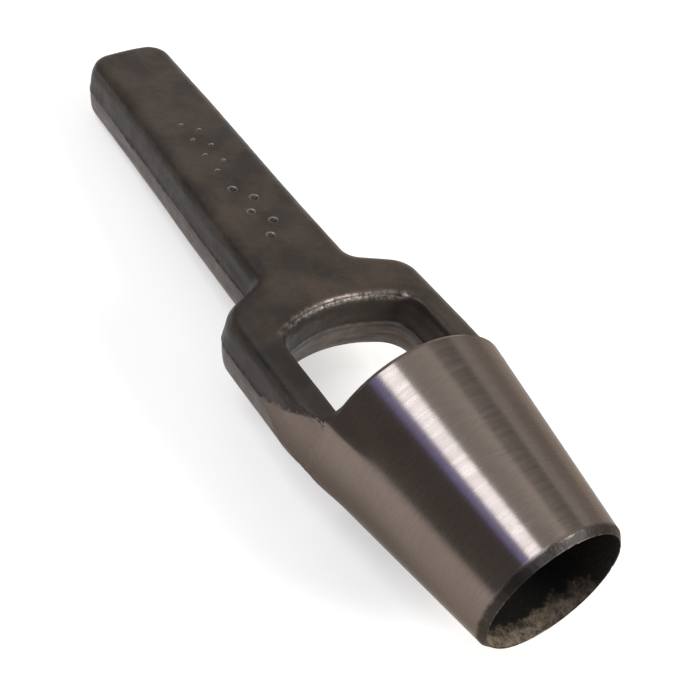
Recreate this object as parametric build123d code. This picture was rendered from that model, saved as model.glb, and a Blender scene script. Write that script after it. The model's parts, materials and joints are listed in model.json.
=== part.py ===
from build123d import *
import math
import os

# An arch punch, or drive hole punch: a steel tube with a sharp rim, driven through leather with
# a mallet. The cut discs climb the tube and fall out of the arched window behind it.
#
# Frame: the origin is the centre of the circular cutting edge. +X runs up the tool's axis to the
# struck end, +Z is the broad marked face, and the two legs of the arch lie towards +Y and -Y.
# All sizes are in millimetres.

# Driving dimensions of the cutter.
hole_diameter = 20.64          # the hole that it cuts, 13/16 in
barrel_length = 32.2           # from the cutting edge to the back rim
edge_wall = 0.85               # wall left behind the sharpened bevel
bevel_length = 1.0
back_wall = 5.1                # wall at the back rim
land_length = 12.0             # straight stretch of the bore behind the edge
bore_relief = 0.25             # how much the bore's radius opens from the land to the back

# Driving dimensions of the forged handle.
overall_length = 123.0         # from the cutting edge to the struck end
forging_thickness = 10.8       # along Z, flat face to flat face
forging_offset = 0.45          # the forging sits this far towards +Y of the turned cutter
slug_clearance = 0.6           # between the bore's wall and each leg's foot
window_narrowing = 0.2         # each side, from the legs' feet to the window's corners
window_length = 19.0           # along X, from the back rim to the crown of the arch
window_rise = 3.2              # height of the crown above the window's corners
leg_width = 6.1                # along Y, at the foot
shoulder_inset = 0.3           # how much less far out the shoulders reach than the feet
crown_length = 9.5             # along X, from the crown of the arch to the neck
shoulder_slope = 4.2           # along X, how far the shoulders drop from the neck
neck_width = 17.3
head_width = 15.8

# Forging details.
draft_angle = 6.0              # degrees, each way from the parting plane
face_edge_radius = 2.4         # round along the outer edges of the broad faces
window_edge_radius = 1.3       # round along the window's edges
neck_fillet = 1.8
shoulder_radius = 5.5
head_corner_radius = 4.4
window_corner_radius = 4.0
leg_proud = 0.6                # how far the legs' ground sides stand outside the back rim
leg_flare = 0.22               # how fast those ground sides spread, per unit of length

# Sizes that follow from them.
bore_radius = hole_diameter / 2
edge_radius = bore_radius + edge_wall
back_radius = bore_radius + back_wall
half_thickness = forging_thickness / 2
foot_gap = bore_radius + slug_clearance
corner_gap = foot_gap - window_narrowing
foot_reach = foot_gap + leg_width
shoulder_reach = foot_reach - shoulder_inset
arch_crown_x = barrel_length + window_length
neck_x = arch_crown_x + crown_length

# Extra metal that is cut off again: on the legs, where their feet meet the barrel, and at the
# struck end, where squaring it just clears the draft.
foot_allowance = 4.0
head_allowance = (half_thickness - face_edge_radius) * math.tan(math.radians(draft_angle))

near_enough = 0.01             # how close a corner or edge lies to the place it is looked for


def mirrored_chain(points):
    """The points as given, then the same points on the other side of the X axis, in reverse."""
    return points + [(x, -y) for x, y in reversed(points)]


def handle_outline():
    """Outside of the forging on its parting plane, from below the feet to past the struck end."""
    shoulder_x = neck_x - shoulder_slope
    half = [
        (barrel_length - foot_allowance, foot_reach),
        (shoulder_x, shoulder_reach),
        (neck_x, neck_width / 2),
        (overall_length + head_allowance, head_width / 2),
    ]
    face = make_face(Polyline(mirrored_chain(half), close=True))
    face = fillet(near(face.vertices(), shoulder_x, shoulder_reach), shoulder_radius)
    face = fillet(near(face.vertices(), neck_x, neck_width / 2), neck_fillet)
    head = near(face.vertices(), overall_length + head_allowance, head_width / 2)
    return fillet(head, head_corner_radius)


def near(vertices, x, y):
    """The corners at (x, y) and at its mirror image (x, -y)."""
    spots = [Vector(x, y, 0), Vector(x, -y, 0)]
    return [
        vertex for vertex in vertices
        if min((vertex.center() - spot).length for spot in spots) < near_enough
    ]


def window_outline():
    """The arched window on the parting plane, from below the feet to the crown of the arch."""
    corner_x = arch_crown_x - window_rise
    start = (barrel_length - foot_allowance, foot_gap)
    corner = (corner_x, corner_gap)
    sides = Polyline((corner_x, -corner_gap), (start[0], -start[1]), start, corner)
    arch = ThreePointArc(corner, (arch_crown_x, 0), (corner_x, -corner_gap))
    face = make_face([sides, arch])
    return fillet(near(face.vertices(), corner_x, corner_gap), window_corner_radius)


def drafted(face, height, angle):
    """The face extruded both ways from the parting plane, leaning in by the angle."""
    up = extrude(face, amount=height, dir=(0, 0, 1), taper=angle)
    return up + mirror(up, Plane.XY)


def squared_head(solid):
    """The solid ground off flat at the struck end, which takes the draft off that face."""
    cutter = Pos(overall_length + head_width / 2, 0, 0) * Box(
        head_width, 2 * head_width, 2 * forging_thickness)
    return solid - cutter


def face_rims(solid):
    """The edges that lie in the two broad faces of a solid, all the way along."""
    return [
        edge for edge in solid.edges()
        if abs(abs(edge.center().Z) - half_thickness) < near_enough
        and edge.bounding_box().size.Z < near_enough
    ]


def window_rims(solid):
    """Those edges in the broad faces that run round the window."""
    reach = foot_gap + half_thickness * math.tan(math.radians(draft_angle)) + near_enough
    rims = []
    for edge in face_rims(solid):
        box = edge.bounding_box()
        inside = box.max.X < neck_x - shoulder_slope and max(box.max.Y, -box.min.Y) < reach
        if inside and box.max.X > barrel_length:
            rims.append(edge)
    return rims


def grinding_cone():
    """The cone that the legs' sides are ground to, from the barrel's back rim upwards."""
    length = overall_length - barrel_length
    near_radius = back_radius + leg_proud
    profile = Polyline(
        (barrel_length, 0),
        (barrel_length, near_radius),
        (overall_length, near_radius + leg_flare * length),
        (overall_length, 0),
        close=True,
    )
    return revolve(make_face(profile), axis=Axis.X)


def make_forged_handle():
    """Shank, arch and two legs in one drop forging, with feet cut flat for the barrel."""
    body = drafted(handle_outline(), half_thickness, draft_angle)
    body = squared_head(fillet(face_rims(body), face_edge_radius))
    body = body - drafted(window_outline(), half_thickness, -draft_angle)
    body = fillet(window_rims(body), window_edge_radius)
    body = Pos(0, forging_offset, 0) * body
    return body & grinding_cone()


def make_cutter_barrel():
    """The hollow cutter: a cone outside, a straight land and a slight relief inside."""
    profile = Polyline(
        (0, bore_radius),
        (bevel_length, edge_radius),
        (barrel_length, back_radius),
        (barrel_length, bore_radius + bore_relief),
        (land_length, bore_radius),
        close=True,
    )
    return revolve(make_face(profile), axis=Axis.X)


nodes = {
    "forged_handle": make_forged_handle(),
    "cutter_barrel": make_cutter_barrel(),
}

os.makedirs("parts", exist_ok=True)
for name, shape in nodes.items():
    shape.label = name
    export_step(shape, f"parts/{name}.step")
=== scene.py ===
import json
import math

import bmesh
import bpy
import numpy as np
from mathutils import Matrix, Vector, noise


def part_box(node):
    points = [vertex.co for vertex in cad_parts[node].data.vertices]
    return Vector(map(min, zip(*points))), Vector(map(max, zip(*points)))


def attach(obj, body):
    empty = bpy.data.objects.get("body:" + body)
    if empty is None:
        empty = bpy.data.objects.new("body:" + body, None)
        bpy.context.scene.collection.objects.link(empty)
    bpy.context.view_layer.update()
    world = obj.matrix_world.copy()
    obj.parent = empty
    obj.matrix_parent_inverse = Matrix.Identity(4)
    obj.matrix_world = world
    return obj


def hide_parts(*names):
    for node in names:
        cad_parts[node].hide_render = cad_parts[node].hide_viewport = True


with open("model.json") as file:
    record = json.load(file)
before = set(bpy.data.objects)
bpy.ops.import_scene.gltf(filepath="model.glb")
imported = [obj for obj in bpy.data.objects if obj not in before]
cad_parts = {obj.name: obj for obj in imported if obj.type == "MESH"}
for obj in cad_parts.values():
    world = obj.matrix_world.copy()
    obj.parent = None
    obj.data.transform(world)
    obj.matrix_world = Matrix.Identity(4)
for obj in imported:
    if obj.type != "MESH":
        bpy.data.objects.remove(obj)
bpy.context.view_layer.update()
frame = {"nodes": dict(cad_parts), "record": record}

# A drive hole punch on a pale floor: a hollow ground cutter at the end of a black forging.
#
# Sizes are in metres, in the part's frame: +X up the tool's axis to the struck end, +Z out of the
# broad marked face, and the origin at the centre of the cutting edge.
MM = 0.001

# The frame's own sizes, which everything below is worked out from.
BARREL_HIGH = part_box("cutter_barrel")[1]
HANDLE_LOW, HANDLE_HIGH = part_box("forged_handle")
MOUNTS = {mount["name"]: mount for mount in frame["record"]["mounts"]}
BORE_RADIUS = MOUNTS["cutting_bore"]["dims"]["r_mm"] * MM
LAND_LENGTH = MOUNTS["cutting_bore"]["dims"]["length_mm"] * MM
SIDE_OFFSET = MOUNTS["striking_face"]["pos_m"][1]
BACK_RADIUS = BARREL_HIGH.z
BARREL_LENGTH = BARREL_HIGH.x
TOOL_LENGTH = HANDLE_HIGH.x
FACE_HEIGHT = HANDLE_HIGH.z

# The CAD part's sizes that its boxes don't give.
BEVEL_LENGTH = 1.0 * MM
EDGE_WALL = 0.85 * MM
BORE_RELIEF = 0.25 * MM
LEG_PROUD = 0.6 * MM
WINDOW_LENGTH = 19.0 * MM


# ---------------------------------------------------------------- numbers and meshes

def smooth_step(values, low, high):
    """0 below low, 1 above high and an S-curve between them."""
    t = np.clip((values - low) / (high - low), 0, 1)
    return t * t * (3 - 2 * t)


def bump_curve(values, middle, reach):
    """A smooth hump, 1 at the middle and 0 beyond its reach."""
    t = np.clip(np.abs(values - middle) / reach, 0, 1)
    return 0.5 + 0.5 * np.cos(math.pi * t)


def noise_at(points, size, seed=0.0):
    """Smooth noise from about -1 to 1, one value per point, with features of that size."""
    shift = Vector((seed, 2 * seed, 3 * seed))
    return np.array([noise.noise(Vector(point) + shift) for point in points / size])


def new_piece(name, mesh, slot, *nodes):
    """Shows a mesh as an object that rides on the root body in place of the CAD nodes named."""
    piece = bpy.data.objects.new(name, mesh)
    bpy.context.scene.collection.objects.link(piece)
    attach(piece, "root")
    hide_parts(*nodes)


def vertex_array(mesh):
    """The mesh's vertices as an (n, 3) array."""
    flat = np.empty(len(mesh.vertices) * 3)
    mesh.vertices.foreach_get("co", flat)
    return flat.reshape(-1, 3)


def normal_array(mesh):
    """The mesh's vertex normals as an (n, 3) array."""
    flat = np.empty(len(mesh.vertices) * 3)
    mesh.vertex_normals.foreach_get("vector", flat)
    return flat.reshape(-1, 3)


def set_vertices(mesh, points):
    """Writes an (n, 3) array back to the mesh."""
    mesh.vertices.foreach_set("co", points.ravel())
    mesh.update()


def add_attribute(mesh, name, values):
    """Stores one number per vertex for the materials to read."""
    attribute = mesh.attributes.new(name, "FLOAT", "POINT")
    attribute.data.foreach_set("value", values.astype(np.float32))


# ---------------------------------------------------------------- the forging

# The even mesh over the CAD shape: its face size, and how its voxel steps are smoothed out.
VOXEL = 0.22 * MM
WELD_DISTANCE = 0.002 * MM
SMOOTHING = 0.5
SMOOTHING_ROUNDS = 3

# The die's parting line: a thin wavy flash left round every side wall but the struck end's.
FLASH_HEIGHT = 0.20 * MM
FLASH_WIDTH = 0.26 * MM
FLASH_WANDER = 0.22 * MM
FLASH_FADE = (TOOL_LENGTH - 9 * MM, TOOL_LENGTH - 4 * MM)

# Depths of the skin's broad and fine hollows, and of the ripples drawn along its side walls.
BROAD_HOLLOWS = 0.08 * MM
FINE_HOLLOWS = 0.03 * MM
WALL_RIPPLES = 0.20 * MM

# The forging isn't quite true: the shank bows a little towards +Y, and its end is hammered back.
SHANK_BOW = 0.45 * MM
BOW_MIDDLE = TOOL_LENGTH * 0.58
BOW_REACH = 36 * MM
HEAD_SLANT = 0.8 * MM
HEAD_SLANT_SPAN = (-2 * MM, 7 * MM)      # along Y
HEAD_STRETCH = 16 * MM

# Plain punched dots in place of the lettering stamped on the shank: a fine row, then a bold one.
# Each row's first and last dot along X, its number of dots, their radius and their depth.
DOT_ROWS = (
    (TOOL_LENGTH - 25 * MM, TOOL_LENGTH - 38 * MM, 7, 0.55 * MM, 0.26 * MM),
    (TOOL_LENGTH - 43 * MM, TOOL_LENGTH - 55 * MM, 5, 0.95 * MM, 0.42 * MM),
)
DOT_Y = 0.6 * MM
DOT_ZIGZAG = 1.1 * MM
DOT_FLOOR = 0.15                         # flat middle of a dot, as a share of its radius
DOT_FORCE = 0.8                          # average force of the blows, and how much it varies
DOT_FORCE_SPREAD = 0.2
DOT_SKIN = 0.5 * MM                      # how far below the broad face the mesh is refined

# The window's crown is an arc of this radius about a point on the handle's own middle line, and
# its rim is rounded off more softly than the other edges, fading out towards the window's sides.
CROWN_X = BARREL_LENGTH + WINDOW_LENGTH
CROWN_RADIUS = 19.6 * MM
CROWN_ROUNDING = 1.0 * MM
CROWN_REACH = 3.0 * MM
CROWN_FADE = (CROWN_X - 3.6 * MM, CROWN_X - 1.4 * MM)

# The outer sides of the legs are ground bare, from the back rim up to this place at mid-height.
GROUND_END = BARREL_LENGTH + 11.6 * MM
GROUND_SLOPE = 1.9                       # how much sooner it ends, per unit of height off the middle
GROUND_FACING = 0.6                      # how far outward a wall has to face to be ground
GROUND_SHARPNESS = 4                     # how fast the grinding stops as the wall turns away

# Where the scale is worn. Trimming the flash rubbed the walls below this height, and handling
# polished the rounded rims, whose normals have about this much of +Z in them.
TRIM_FADE = (-1.6 * MM, 0.1 * MM)
WORN_FACING = 0.72
WORN_SPREAD = 0.30

# The feet run on into the barrel's back rim and are drawn in there, so that no seam shows.
FOOT_OVERLAP = 0.9 * MM
FOOT_BLEND = 1.2 * MM
FOOT_TUCK = 0.02                         # as a share of the distance from the axis


def remeshed_copy(node):
    """An even mesh of small faces over a CAD node's shape."""
    source = frame["nodes"][node]
    mesh = source.data.copy()
    bm = bmesh.new()
    bm.from_mesh(mesh)
    bmesh.ops.remove_doubles(bm, verts=bm.verts, dist=WELD_DISTANCE)
    bm.to_mesh(mesh)
    bm.free()
    mesh.materials.clear()
    scratch = bpy.data.objects.new("scratch", mesh)
    bpy.context.scene.collection.objects.link(scratch)
    modifier = scratch.modifiers.new("even", "REMESH")
    modifier.mode = "VOXEL"
    modifier.voxel_size = VOXEL
    modifier.use_smooth_shade = True
    smooth = scratch.modifiers.new("smooth", "SMOOTH")
    smooth.factor = SMOOTHING
    smooth.iterations = SMOOTHING_ROUNDS
    even = bpy.data.meshes.new_from_object(
        scratch.evaluated_get(bpy.context.evaluated_depsgraph_get()))
    bpy.data.objects.remove(scratch)
    return even


def refine_marked_face(mesh):
    """Smaller faces where the dots are punched, so that they can be real dents."""
    bm = bmesh.new()
    bm.from_mesh(mesh)
    reach = 2 * DOT_ZIGZAG
    low = DOT_ROWS[-1][1] - reach
    high = DOT_ROWS[0][0] + reach
    edges = [
        edge for edge in bm.edges
        if all(low < v.co.x < high and abs(v.co.y - DOT_Y) < reach
               and v.co.z > FACE_HEIGHT - DOT_SKIN for v in edge.verts)
    ]
    bmesh.ops.subdivide_edges(bm, edges=edges, cuts=1, use_grid_fill=True)
    bm.to_mesh(mesh)
    bm.free()


def dot_depth(points, normals):
    """Depth of the punched dots at each point, on the broad marked face only."""
    depth = np.zeros(len(points))
    for start, end, count, radius, deepest in DOT_ROWS:
        for i in range(count):
            x = start + (end - start) * i / (count - 1)
            y = DOT_Y + DOT_ZIGZAG * (-1) ** i
            away = np.hypot(points[:, 0] - x, points[:, 1] - y)
            force = DOT_FORCE + DOT_FORCE_SPREAD * math.sin(2.3 * i)
            depth += force * deepest * (1 - smooth_step(away, DOT_FLOOR * radius, radius))
    return depth * smooth_step(normals[:, 2], 0.7, 0.95)


def warp(points):
    """The forging's own untruth: a bowed shank and a struck end that slopes back on one side."""
    x, y, z = points.T
    y = y + SHANK_BOW * bump_curve(x, BOW_MIDDLE, BOW_REACH)
    slope = smooth_step(y, *HEAD_SLANT_SPAN) * smooth_step(x, TOOL_LENGTH - HEAD_STRETCH, TOOL_LENGTH)
    x = x - HEAD_SLANT * slope
    return np.column_stack([x, y, z])


def side_wall(normals, low=0.55, high=0.92):
    """1 on the walls that stand square to the broad faces, 0 on the faces themselves."""
    return smooth_step(1 - normals[:, 2] ** 2, low, high)


def flash(points, normals):
    """Height of the parting flash that stands out of the side walls at each point."""
    ragged = 0.55 + 0.6 * noise_at(points, 1.1 * MM, 4) + 0.6 * noise_at(points, 5 * MM, 9)
    wander = FLASH_WANDER * noise_at(points, 7 * MM, 2)
    ridge = np.exp(-(((points[:, 2] - wander) / FLASH_WIDTH) ** 2))
    off_end = 1 - smooth_step(points[:, 0], *FLASH_FADE)
    return FLASH_HEIGHT * ridge * side_wall(normals, 0.5, 0.9) * off_end * np.clip(ragged, 0, 1.3)


def unevenness(points, normals):
    """Depth of the forged skin's shallow hollows at each point, never outward."""
    broad = 0.5 + 0.5 * noise_at(points, 9 * MM, 1)
    fine = 0.5 + 0.5 * noise_at(points, 1.6 * MM, 3)
    ripple = 0.5 + 0.5 * noise_at(points * (0.16, 0.6, 1), 1.5 * MM, 7)
    on_walls = WALL_RIPPLES * ripple * side_wall(normals, 0.4, 0.9)
    return BROAD_HOLLOWS * broad + FINE_HOLLOWS * fine + on_walls


def bare_distance(points, normals):
    """How far, in millimetres, each point lies inside the part of a leg that was ground bare."""
    x, y, z = points.T
    outward = normals[:, 1] * np.sign(y)
    limit = GROUND_END - GROUND_SLOPE * np.abs(z)
    return np.minimum((limit - x) / MM, GROUND_SHARPNESS * (outward - GROUND_FACING))


def trimmed_amount(points, normals):
    """How far the flash trimming has rubbed the scale thin, below the parting line of the walls."""
    return side_wall(normals) * (1 - smooth_step(points[:, 2], *TRIM_FADE))


def worn_amount(normals):
    """How far handling has polished the rounded rims of the upper face."""
    return bump_curve(normals[:, 2], WORN_FACING, WORN_SPREAD)


def struck_amount(dots, ridge, normals):
    """How far bright metal shows: round the punched dots, and on flash that faces the cutter."""
    crest = ridge / FLASH_HEIGHT * smooth_step(-normals[:, 0], 0.3, 0.7)
    return np.maximum(bump_curve(dots, 0.09 * MM, 0.08 * MM), 0.8 * crest)


def crown_softening(points):
    """How far each point near the rim of the window's crown is rounded off inward."""
    x, y, z = points.T
    from_wall = np.hypot(x - CROWN_X + CROWN_RADIUS, y - SIDE_OFFSET) - CROWN_RADIUS
    from_rim = np.hypot(np.clip(from_wall, 0, None), FACE_HEIGHT - z)
    closeness = np.clip(1 - from_rim / CROWN_REACH, 0, 1)
    return CROWN_ROUNDING * closeness ** 2 * smooth_step(x, *CROWN_FADE)


def seat_feet(points):
    """The points with the feet run on into the barrel's back rim, all held inside the CAD box."""
    foot = 1 - smooth_step(points[:, 0], BARREL_LENGTH, BARREL_LENGTH + FOOT_BLEND)
    points[:, 0] -= FOOT_OVERLAP * foot
    tucked = 1 - smooth_step(points[:, 0], BARREL_LENGTH - FOOT_OVERLAP, BARREL_LENGTH)
    points[:, 1:] *= 1 - FOOT_TUCK * tucked[:, None]
    return np.clip(points, np.array(HANDLE_LOW) - (FOOT_OVERLAP, 0, 0), np.array(HANDLE_HIGH))


def make_forging():
    """The forged handle, with its die flash, uneven skin and punched dots."""
    mesh = remeshed_copy("forged_handle")
    mesh.name = "forging"
    refine_marked_face(mesh)
    points = vertex_array(mesh)
    normals = normal_array(mesh)
    bare = bare_distance(points, normals)
    ridge = flash(points, normals)
    softening = crown_softening(points)
    dots = dot_depth(points, normals)
    skin = (ridge - unevenness(points, normals) - softening) * (1 - smooth_step(bare, 0, 0.5))
    set_vertices(mesh, seat_feet(warp(points + normals * (skin - dots)[:, None])))
    add_attribute(mesh, "bare", bare)
    # The side number marks where the material paints shade on the side walls.
    add_attribute(mesh, "side", side_wall(normals))
    add_attribute(mesh, "trimmed", trimmed_amount(points, normals))
    add_attribute(mesh, "worn", worn_amount(normals))
    add_attribute(mesh, "crown", smooth_step(softening, 0.12 * MM, 0.50 * MM))
    add_attribute(mesh, "struck", struck_amount(dots, ridge, normals))
    new_piece("forging", mesh, "forged_black_steel", "forged_handle")
    mesh.materials.append(forged_material())


# ---------------------------------------------------------------- the cutter

SEGMENTS = 540
BACK_BORE = BORE_RADIUS + BORE_RELIEF

# The back rim is chamfered. The cutting edge stands a hair outside the bore, which eases out to it.
RIM_CHAMFER = 0.8 * MM
CHAMFER_SLOPE = 0.9
RIM_RADIUS = BACK_RADIUS - CHAMFER_SLOPE * RIM_CHAMFER
EDGE_OFFSET = 0.07 * MM
EDGE_EASING = 0.15 * MM

# The barrel swells to meet the legs' proud sides, a hair over them, and fades out below and beside.
SWELL = LEG_PROUD + 0.01 * MM
LEG_FADE = 10 * MM
LEG_HALF_ANGLE = math.asin(FACE_HEIGHT / BACK_RADIUS)
LEG_FADE_ANGLE = math.radians(12)

# Small faults: the ground cone isn't quite round, and the cutting edge is nicked.
OUT_OF_ROUND = 0.014 * MM
NICK_DEPTH = 0.16 * MM
NICK_REACH = 0.5 * MM
NICK_LIMIT = 0.25           # noise above this makes a nick

SHARP_ANGLE = math.radians(12)


def cone_radius(x):
    """Outer radius of the ground cone at x."""
    slope = (BACK_RADIUS - BORE_RADIUS - EDGE_WALL) / (BARREL_LENGTH - BEVEL_LENGTH)
    return BACK_RADIUS + slope * (x - BARREL_LENGTH)


def steps_between(start, end, count):
    """Points from start towards end, without the end."""
    return [tuple(np.array(start) + (np.array(end) - start) * i / count) for i in range(count)]


def barrel_profile():
    """Points (x, radius) all round the barrel's wall, from the back of the bore and out."""
    back_bore = (BARREL_LENGTH, BACK_BORE)
    land_end = (LAND_LENGTH, BORE_RADIUS)
    lip_inside = (EDGE_EASING, BORE_RADIUS)
    lip = (0.0, BORE_RADIUS + EDGE_OFFSET)
    bevel_end = (BEVEL_LENGTH, cone_radius(BEVEL_LENGTH))
    rim_low = (BARREL_LENGTH - RIM_CHAMFER, cone_radius(BARREL_LENGTH - RIM_CHAMFER))
    rim_high = (BARREL_LENGTH, RIM_RADIUS)
    corners = [back_bore, land_end, lip_inside, lip, bevel_end, rim_low, rim_high]
    counts = [24, 24, 2, 5, 80, 4, 10]
    profile = []
    for start, end, count in zip(corners, corners[1:] + corners[:1], counts):
        profile += steps_between(start, end, count)
    return np.array(profile)


def at_leg(angle):
    """1 where the barrel runs into a leg, fading to 0 on either side of it."""
    off_leg = np.abs(np.abs(angle) - math.pi / 2)
    return 1 - smooth_step(off_leg, LEG_HALF_ANGLE, LEG_HALF_ANGLE + LEG_FADE_ANGLE)


def leg_swell(x):
    """How far the barrel swells at x to meet the proud sides of the legs, ground fair with it."""
    return SWELL * smooth_step(x, BARREL_LENGTH - LEG_FADE, BARREL_LENGTH)


def barrel_points():
    """The lathed wall as a (rings, segments, 3) array, with its small departures from round."""
    profile = barrel_profile()
    x = np.repeat(profile[:, :1], SEGMENTS, axis=1)
    radius = np.repeat(profile[:, 1:], SEGMENTS, axis=1)
    angle = np.repeat(np.linspace(-math.pi, math.pi, SEGMENTS, endpoint=False)[None], len(x), axis=0)
    share = np.clip((radius - BACK_BORE) / (RIM_RADIUS - BACK_BORE), 0, 1)
    no_chamfer = CHAMFER_SLOPE * np.clip(x - BARREL_LENGTH + RIM_CHAMFER, 0, None)
    radius = radius + share * at_leg(angle) * (no_chamfer + leg_swell(x))
    around = np.stack([x, BORE_RADIUS * np.sin(angle), BORE_RADIUS * np.cos(angle)], axis=-1)
    flat = around.reshape(-1, 3)
    wobble = (noise_at(flat * (0.35, 1, 1), 5 * MM, 5) - 1).reshape(x.shape)
    radius = radius + OUT_OF_ROUND * wobble * share
    nicks = (noise_at(flat, 0.9 * MM, 6).clip(NICK_LIMIT, 1) - NICK_LIMIT).reshape(x.shape)
    at_edge = 1 - smooth_step(x, 0, NICK_REACH)
    x = x + NICK_DEPTH * nicks * at_edge
    return np.stack([x, radius * np.sin(angle), radius * np.cos(angle)], axis=-1)


def ring_faces(rings):
    """The faces between each ring of points and the next, the last one joined to the first."""
    faces = []
    for ring in range(rings):
        after = (ring + 1) % rings
        for i in range(SEGMENTS):
            j = (i + 1) % SEGMENTS
            faces.append((ring * SEGMENTS + i, ring * SEGMENTS + j,
                          after * SEGMENTS + j, after * SEGMENTS + i))
    return faces


def bore_faces(points):
    """1 for each face inside the bore and 0 for the others, in the order of ring_faces."""
    radius = np.hypot(points[..., 1], points[..., 2])
    in_bore = (radius < BORE_RADIUS + 1.2 * BORE_RELIEF) & (points[..., 0] > 0.1 * MM)
    both = in_bore & np.roll(in_bore, -1, axis=0)
    return both.astype(int).ravel()


def make_barrel():
    """The turned and ground hollow cutter."""
    points = barrel_points()
    mesh = bpy.data.meshes.new("cutter")
    mesh.from_pydata(points.reshape(-1, 3).tolist(), [], ring_faces(len(points)))
    bm = bmesh.new()
    bm.from_mesh(mesh)
    bmesh.ops.recalc_face_normals(bm, faces=bm.faces)
    bm.to_mesh(mesh)
    bm.free()
    mesh.shade_smooth()
    mesh.set_sharp_from_angle(angle=SHARP_ANGLE)
    new_piece("cutter", mesh, "ground_steel", "cutter_barrel")
    mesh.materials.append(ground_material())
    mesh.materials.append(bore_material())
    mesh.polygons.foreach_set("material_index", bore_faces(points))
    mesh.update()


# ---------------------------------------------------------------- materials

# The Mix node has sockets of the same name for each kind of data, so these pick the colour ones.
MIX_FACTOR = 0
MIX_FIRST = 6
MIX_SECOND = 7
MIX_RESULT = 2


class Shader:
    """A Principled material, with short ways to add the nodes that paint it."""

    def __init__(self, name):
        self.material = bpy.data.materials.new(name)
        self.material.use_nodes = True
        self.tree = self.material.node_tree
        self.surface = self.tree.nodes["Principled BSDF"]
        self.place = self.add("ShaderNodeTexCoord").outputs["Object"]
        apart = self.add("ShaderNodeSeparateXYZ")
        self.put(apart.inputs["Vector"], self.place)
        self.along = apart.outputs["X"]
        self.sideways = apart.outputs["Y"]
        self.height = apart.outputs["Z"]

    def add(self, kind, **settings):
        """A node of that kind with those properties."""
        made = self.tree.nodes.new(kind)
        for key, value in settings.items():
            setattr(made, key, value)
        return made

    def put(self, socket, value):
        """Links or sets one socket."""
        if isinstance(value, bpy.types.NodeSocket):
            self.tree.links.new(value, socket)
        else:
            socket.default_value = value

    def set(self, **inputs):
        """Links or sets the surface's own sockets, named with _ for a space."""
        for key, value in inputs.items():
            self.put(self.surface.inputs[key.replace("_", " ")], value)

    def noise(self, size, detail=3.0, roughness=0.55, stretch=(1, 1, 1), seed=0.0):
        """Noise from 0 to 1 with features of that size in metres, drawn out by the stretch."""
        scaled = self.add("ShaderNodeMapping")
        self.put(scaled.inputs["Vector"], self.place)
        scaled.inputs["Scale"].default_value = [1 / (size * s) for s in stretch]
        scaled.inputs["Location"].default_value = (seed, 2 * seed, 3 * seed)
        texture = self.add("ShaderNodeTexNoise")
        self.put(texture.inputs["Vector"], scaled.outputs["Vector"])
        texture.inputs["Scale"].default_value = 1.0
        texture.inputs["Detail"].default_value = detail
        texture.inputs["Roughness"].default_value = roughness
        return texture.outputs["Fac"]

    def span(self, value, low, high, to_low=0.0, to_high=1.0):
        """The value's range low to high mapped on to another, and held there."""
        made = self.add("ShaderNodeMapRange", clamp=True)
        for socket, number in zip(made.inputs, (value, low, high, to_low, to_high)):
            self.put(socket, number)
        return made.outputs["Result"]

    def math(self, operation, first, second):
        """Arithmetic on two values."""
        made = self.add("ShaderNodeMath", operation=operation)
        self.put(made.inputs[0], first)
        self.put(made.inputs[1], second)
        return made.outputs["Value"]

    def mix(self, factor, first, second):
        """The first colour at factor 0 and the second at 1."""
        made = self.add("ShaderNodeMix", data_type="RGBA")
        self.put(made.inputs[MIX_FACTOR], factor)
        self.put(made.inputs[MIX_FIRST], first)
        self.put(made.inputs[MIX_SECOND], second)
        return made.outputs[MIX_RESULT]

    def bump(self, height, depth, below=None):
        """A bump of that depth in metres, laid over another one."""
        made = self.add("ShaderNodeBump")
        self.put(made.inputs["Height"], height)
        made.inputs["Distance"].default_value = depth
        if below is not None:
            self.put(made.inputs["Normal"], below)
        return made.outputs["Normal"]

    def attribute(self, name):
        """A number stored on the mesh."""
        return self.add("ShaderNodeAttribute", attribute_name=name).outputs["Fac"]

    def around_axis(self):
        """The tangent that runs round the tool's axis."""
        return self.add("ShaderNodeTangent", direction_type="RADIAL", axis="X").outputs["Tangent"]


# Colours, each as red, green, blue and alpha.
BLACK_SCALE = (0.044, 0.0310, 0.0215, 1)
# The dark scale colour also paints shade on the forging's side walls.
DARK_SCALE_AND_SIDE_SHADE = (0.021, 0.0150, 0.0110, 1)
BROWN_SCALE = (0.060, 0.0395, 0.0260, 1)
BARE_STEEL = (0.215, 0.174, 0.151, 1)
BARE_STEEL_DARK = (0.165, 0.133, 0.115, 1)
RUBBED_STEEL = (0.110, 0.085, 0.070, 1)
HONED_STEEL = (0.052, 0.046, 0.042, 1)
# Darkens the ground steel on its far side, and paints shade on its underside.
DULL_STEEL_AND_SHADE = (0.108, 0.088, 0.075, 1)
WHITE = (1, 1, 1, 1)
GRAZING_TINT = (0.58, 0.54, 0.51, 1)
# The bore: near-black painted shade inside, and a tan-brown for the lit lower wall at the mouth that
# is painted light mixed with rust.
BORE_PAINTED_SHADE = (0.008, 0.007, 0.006, 1)
BORE_RUST_AND_LIGHT = (0.255, 0.190, 0.128, 1)

ROUND_THE_AXIS = (0.05, 1, 1)      # grinding marks: fine along X, long across it
SCRATCH_DEPTH = 0.005 * MM
PEBBLE_DEPTH = 0.075 * MM
DENT_DEPTH = 0.06 * MM
PIT_DEPTH = 0.12 * MM

# Roughness of each finish, from its smoothest to its roughest.
SCALE_ROUGHNESS = (0.32, 0.48)
STEEL_ROUGHNESS = (0.25, 0.31)
BORE_ROUGHNESS = (0.40, 0.62)


def grinding_marks(s):
    """Fine and coarse scratches that run round the tool's axis, each from 0 to 1."""
    fine = s.noise(2.0 * MM, 3, 0.7, ROUND_THE_AXIS)
    coarse = s.noise(12 * MM, 3, 0.6, ROUND_THE_AXIS, 4)
    return fine, coarse


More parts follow.
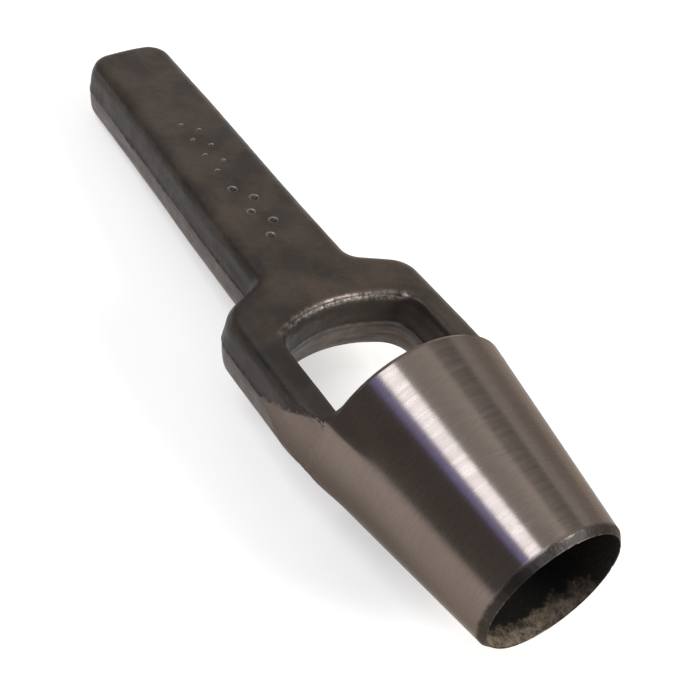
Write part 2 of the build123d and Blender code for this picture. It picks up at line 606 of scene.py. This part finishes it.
def bare_steel(s, fine, coarse):
    """Colour of the ground steel: scratched, clouded, darker on its far side, and with painted shade
    on its underside.
    """
    clouds = s.noise(9 * MM, 3, seed=7)
    steel = s.mix(s.span(fine, 0.30, 0.70), BARE_STEEL_DARK, BARE_STEEL)
    steel = s.mix(s.span(coarse, 0.4, 0.8, 0, 0.35), steel, BARE_STEEL_DARK)
    steel = s.mix(s.span(clouds, 0.5, 0.8, 0, 0.30), steel, RUBBED_STEEL)
    # Darker on the far side. Painted shade on the underside, where shade falls.
    far_side = s.span(s.sideways, 0.1 * BACK_RADIUS, -0.75 * BACK_RADIUS, 0, 0.50)
    painted_underside_shade = s.span(s.height, 0.45 * BACK_RADIUS, -0.3 * BACK_RADIUS, 0, 0.85)
    return s.mix(s.math("MAXIMUM", far_side, painted_underside_shade), steel, DULL_STEEL_AND_SHADE)


def brush_round(s, amount):
    """Gloss that is drawn out across the grinding marks, which run round the tool's axis."""
    s.set(Anisotropic=amount)
    s.set(Anisotropic_Rotation=0.25)
    s.set(Tangent=s.around_axis())


def forged_material():
    """Black forging scale with brown patches and painted shade on its side walls, rubbed on its flash,
    and bare where it was ground.
    """
    s = Shader("forged_black")
    patches = s.span(s.noise(7 * MM, 4), 0.40, 0.62)
    brown = s.span(s.noise(11 * MM, 5, seed=3), 0.50, 0.72)
    speckle = s.span(s.noise(0.5 * MM, 2), 0.35, 0.65)
    scale = s.mix(patches, BLACK_SCALE, DARK_SCALE_AND_SIDE_SHADE)
    scale = s.mix(brown, scale, BROWN_SCALE)
    scale = s.mix(s.math("MULTIPLY", speckle, 0.25), scale, DARK_SCALE_AND_SIDE_SHADE)
    fine, coarse = grinding_marks(s)
    steel = bare_steel(s, fine, coarse)
    ragged = s.math("SUBTRACT", s.noise(3.0 * MM, 4, 0.75, (0.12, 1, 1), 8), 0.5)
    edge = s.math("ADD", s.attribute("bare"), s.math("MULTIPLY", ragged, 4.0))
    bare = s.span(edge, -0.15, 0.25)
    streaks = s.span(s.noise(6 * MM, 4, 0.6, (1, 1, 0.12), 12), 0.3, 0.6, 0.35, 1.0)
    rubbed = s.math("MULTIPLY", s.attribute("trimmed"), streaks)
    worn = s.attribute("worn")
    glints = s.span(s.noise(0.9 * MM, 4, 0.75, seed=15), 0.40, 0.62)
    bright = s.math("MAXIMUM", s.attribute("struck"), s.math("MULTIPLY", s.attribute("crown"), glints))
    # Painted shade: the side walls are darkened towards the dark scale colour.
    scale = s.mix(s.math("MULTIPLY", s.attribute("side"), 0.8), scale, DARK_SCALE_AND_SIDE_SHADE)
    scale = s.mix(rubbed, scale, RUBBED_STEEL)
    scale = s.mix(bright, scale, BARE_STEEL)
    s.set(Base_Color=s.mix(bare, scale, steel))
    metal = s.math("MAXIMUM", bright, s.math("MULTIPLY", rubbed, 0.75))
    s.set(Metallic=s.math("MAXIMUM", bare, metal))
    gloss = s.span(s.noise(2.2 * MM, 5, 0.65, seed=2), 0.3, 0.7, *SCALE_ROUGHNESS)
    polish = s.math("ADD", s.math("MULTIPLY", bare, -0.04), s.math("MULTIPLY", worn, -0.07))
    s.set(Roughness=s.math("ADD", gloss, polish))
    s.set(Specular_IOR_Level=0.22)
    s.set(Specular_Tint=s.mix(bare, WHITE, GRAZING_TINT))
    brush_round(s, s.math("MULTIPLY", bare, 0.8))
    pebbles = s.bump(s.noise(0.50 * MM, 5, 0.68), PEBBLE_DEPTH)
    dents = s.bump(s.noise(2.4 * MM, 3, 0.5, seed=6), DENT_DEPTH, pebbles)
    s.set(Normal=s.bump(s.math("MULTIPLY", fine, bare), 2 * SCRATCH_DEPTH, dents))
    return s.material


def ground_material():
    """Steel ground round the axis: fine scratches, faint bands, freckles, a warm grey colour and
    painted shade on its underside.
    """
    s = Shader("ground_steel")
    fine, coarse = grinding_marks(s)
    steel = bare_steel(s, fine, coarse)
    freckles = s.span(s.noise(0.4 * MM, 1, seed=9), 0.76, 0.80)
    mottle = s.noise(1.1 * MM, 5, 0.72, seed=3)
    from_edge = s.math("ADD", s.along, s.math("MULTIPLY", mottle, 0.8 * MM))
    at_edge = s.span(from_edge, 1.75 * BEVEL_LENGTH, 1.25 * BEVEL_LENGTH)
    steel = s.mix(at_edge, steel, s.mix(s.span(mottle, 0.50, 0.85), HONED_STEEL, RUBBED_STEEL))
    lip = s.math("MULTIPLY", s.span(s.along, 0.12 * MM, 0.04 * MM), s.span(mottle, 0.40, 0.62))
    steel = s.mix(lip, steel, BARE_STEEL)
    s.set(Base_Color=s.mix(s.math("MULTIPLY", freckles, 0.7), steel, BLACK_SCALE))
    s.set(Metallic=1.0)
    s.set(Specular_Tint=GRAZING_TINT)
    s.set(Roughness=s.math("ADD", s.span(coarse, 0.3, 0.7, *STEEL_ROUGHNESS),
                           s.math("MULTIPLY", at_edge, 0.26)))
    brush_round(s, 0.92)
    scratches = s.bump(fine, SCRATCH_DEPTH)
    scratches = s.bump(coarse, SCRATCH_DEPTH, scratches)
    s.set(Normal=s.bump(s.math("MULTIPLY", mottle, at_edge), PIT_DEPTH, scratches))
    return s.material


def bore_material():
    """The inside of the cutter: near-black painted shade, turning at the lower mouth to a tan-brown
    that is painted light on the lit lower wall mixed with rust, broken by dark crumbs.
    """
    s = Shader("bore_painted_shade_and_light")
    # Painted light: the lower wall near the mouth is tan where light falls in, and the rest of the
    # bore stays painted shade.
    low = s.span(s.height, -0.20 * BORE_RADIUS, -0.80 * BORE_RADIUS)
    mouth = s.span(s.along, 4.5 * MM, 0.5 * MM)
    patches = s.math("SUBTRACT", s.noise(3.0 * MM, 7, 0.72), 0.5)
    reach = s.math("ADD", s.math("MULTIPLY", low, mouth), s.math("MULTIPLY", patches, 1.8))
    rust_and_painted_light = s.span(reach, 0.30, 0.62)
    crumbs = s.span(s.noise(1.1 * MM, 6, 0.75, seed=4), 0.38, 0.58, 0.20, 1.0)
    s.set(Base_Color=s.mix(s.math("MULTIPLY", rust_and_painted_light, crumbs), BORE_PAINTED_SHADE, BORE_RUST_AND_LIGHT))
    s.set(Metallic=s.math("MULTIPLY", rust_and_painted_light, 0.35))
    s.set(Roughness=s.span(rust_and_painted_light, 0, 1, *BORE_ROUGHNESS))
    s.set(Normal=s.bump(s.noise(0.7 * MM, 5, 0.65, seed=2), PIT_DEPTH))
    return s.material


# ---------------------------------------------------------------- studio

# The floor: how far it reaches from the tool, and its colours. Towards +Y it darkens from the fade
# to its edge, outside the picture, for the dark side of the cutter to reflect.
FLOOR_REACH = 0.9
FLOOR_FADE = 0.085
FLOOR_EDGE = 0.26
FLOOR_PALE = (0.52, 0.485, 0.445, 1)
FLOOR_DARK = (0.05, 0.05, 0.05, 1)
FLOOR_LIGHT = (1.0, 0.995, 0.985, 1)
FLOOR_GLOW = 0.56

# Soft panels round the tool's axis: where each starts and ends, in degrees from straight up
# towards +Y, where it starts and ends along X, how bright its face is, and its colour.
PANELS = (
    ("key", 15, 33, -0.12, 0.40, 8.4, (0.90, 1.0, 1.12)),
    ("sky", 34, 44, -0.30, 0.42, 1.10, (0.62, 0.64, 1.50)),
    ("wall", 44, 90, -0.50, 1.60, 0.10, (1.0, 1.0, 1.0)),
    ("ceiling_far", 13, 44, 0.62, 1.60, 0.30, (1.0, 0.95, 0.9)),
    ("ceiling", -24, 13, -0.50, 0.60, 0.82, (1.0, 1.0, 1.0)),
    ("ceiling_end", -50, 13, 0.60, 1.60, 0.62, (1.0, 0.96, 0.92)),
    ("ceiling_edge", -50, -24, -0.50, 0.60, 0.14, (1.0, 1.0, 1.0)),
    ("window", -66, -50, -0.50, 1.60, 0.80, (1.0, 1.0, 1.0)),
    ("far_wall", -90, -66, -0.50, 1.60, 0.60, (1.0, 1.0, 1.0)),
    ("front_lamp", -66, -32, -1.40, -0.68, 32.0, (0.95, 0.98, 1.0)),
)
PANEL_DISTANCE = 0.8

ROOM_COLOR = (1.0, 0.97, 0.94, 1)
ROOM_GLOW = 0.12

# The camera, fitted to the outline of the tool in the photograph.
CAMERA_PLACE = Vector((-47.6, 86.2, 119.45)) * MM
CAMERA_AIM = Vector((0.5393, -0.4906, -0.6845))
CAMERA_ROLL = math.radians(13.55)
CAMERA_LENS = 62.17                # for a sensor of this width, both in millimetres
SENSOR_WIDTH = 36.0
NEAR_CLIP = 0.01


def floor_material():
    """A plain pale table top, lit a little from within and dark towards its edge at +Y."""
    s = Shader("pale_floor")
    near_end = s.span(s.sideways, FLOOR_FADE, FLOOR_EDGE)
    s.set(Base_Color=s.mix(near_end, FLOOR_PALE, FLOOR_DARK))
    s.set(Roughness=0.7)
    s.set(Emission_Color=FLOOR_LIGHT)
    s.set(Emission_Strength=s.span(near_end, 0, 1, FLOOR_GLOW, 0))
    return s.material


def make_floor():
    """A pale floor that the punch lies on, touching the barrel's back rim and the struck end."""
    rim = Vector((BARREL_LENGTH, 0, -BACK_RADIUS))
    heel = Vector((TOOL_LENGTH, 0, -FACE_HEIGHT))
    along = (heel - rim).normalized()
    across = Vector((0, 1, 0))
    corners = [rim + along * (FLOOR_REACH * a) + across * b
               for a, b in ((-1, -FLOOR_REACH), (1, -FLOOR_REACH), (1, FLOOR_EDGE), (-1, FLOOR_EDGE))]
    mesh = bpy.data.meshes.new("floor")
    mesh.from_pydata(corners, [], [(0, 1, 2, 3)])
    floor = bpy.data.objects.new("floor", mesh)
    bpy.context.scene.collection.objects.link(floor)
    mesh.materials.append(floor_material())


def make_panel(name, start, end, low_x, high_x, brightness, color):
    """One soft panel beside the tool, facing its axis."""
    middle = math.radians((start + end) / 2)
    outward = Vector((0, math.sin(middle), math.cos(middle)))
    lengthways = Vector((1, 0, 0))
    length = high_x - low_x
    width = 2 * PANEL_DISTANCE * math.tan(math.radians(end - start) / 2)
    data = bpy.data.lights.new(name, "AREA")
    data.shape = "RECTANGLE"
    data.size = length
    data.size_y = width
    data.energy = brightness * math.pi * length * width
    data.color = color
    lamp = bpy.data.objects.new(name, data)
    bpy.context.scene.collection.objects.link(lamp)
    turn = Matrix((lengthways, outward.cross(lengthways), outward)).transposed()
    place = outward * PANEL_DISTANCE + lengthways * (low_x + high_x) / 2
    lamp.matrix_world = Matrix.Translation(place) @ turn.to_4x4()


def make_lights():
    """The panels, and a dim warm room behind them."""
    for panel in PANELS:
        make_panel(*panel)
    world = bpy.data.worlds.new("studio")
    world.use_nodes = True
    background = world.node_tree.nodes["Background"]
    background.inputs["Color"].default_value = ROOM_COLOR
    background.inputs["Strength"].default_value = ROOM_GLOW
    bpy.context.scene.world = world


def make_camera():
    """Close above the cutting edge, looking up the tool to its struck end."""
    data = bpy.data.cameras.new("camera")
    data.lens = CAMERA_LENS
    data.sensor_width = SENSOR_WIDTH
    data.clip_start = NEAR_CLIP
    camera = bpy.data.objects.new("camera", data)
    bpy.context.scene.collection.objects.link(camera)
    level = CAMERA_AIM.to_track_quat("-Z", "Y").to_matrix()
    turned = level @ Matrix.Rotation(CAMERA_ROLL, 3, "Z")
    camera.matrix_world = Matrix.Translation(CAMERA_PLACE) @ turned.to_4x4()
    bpy.context.scene.camera = camera


make_forging()
make_barrel()
make_floor()
make_lights()
make_camera()
bpy.context.scene.view_settings.view_transform = "Standard"
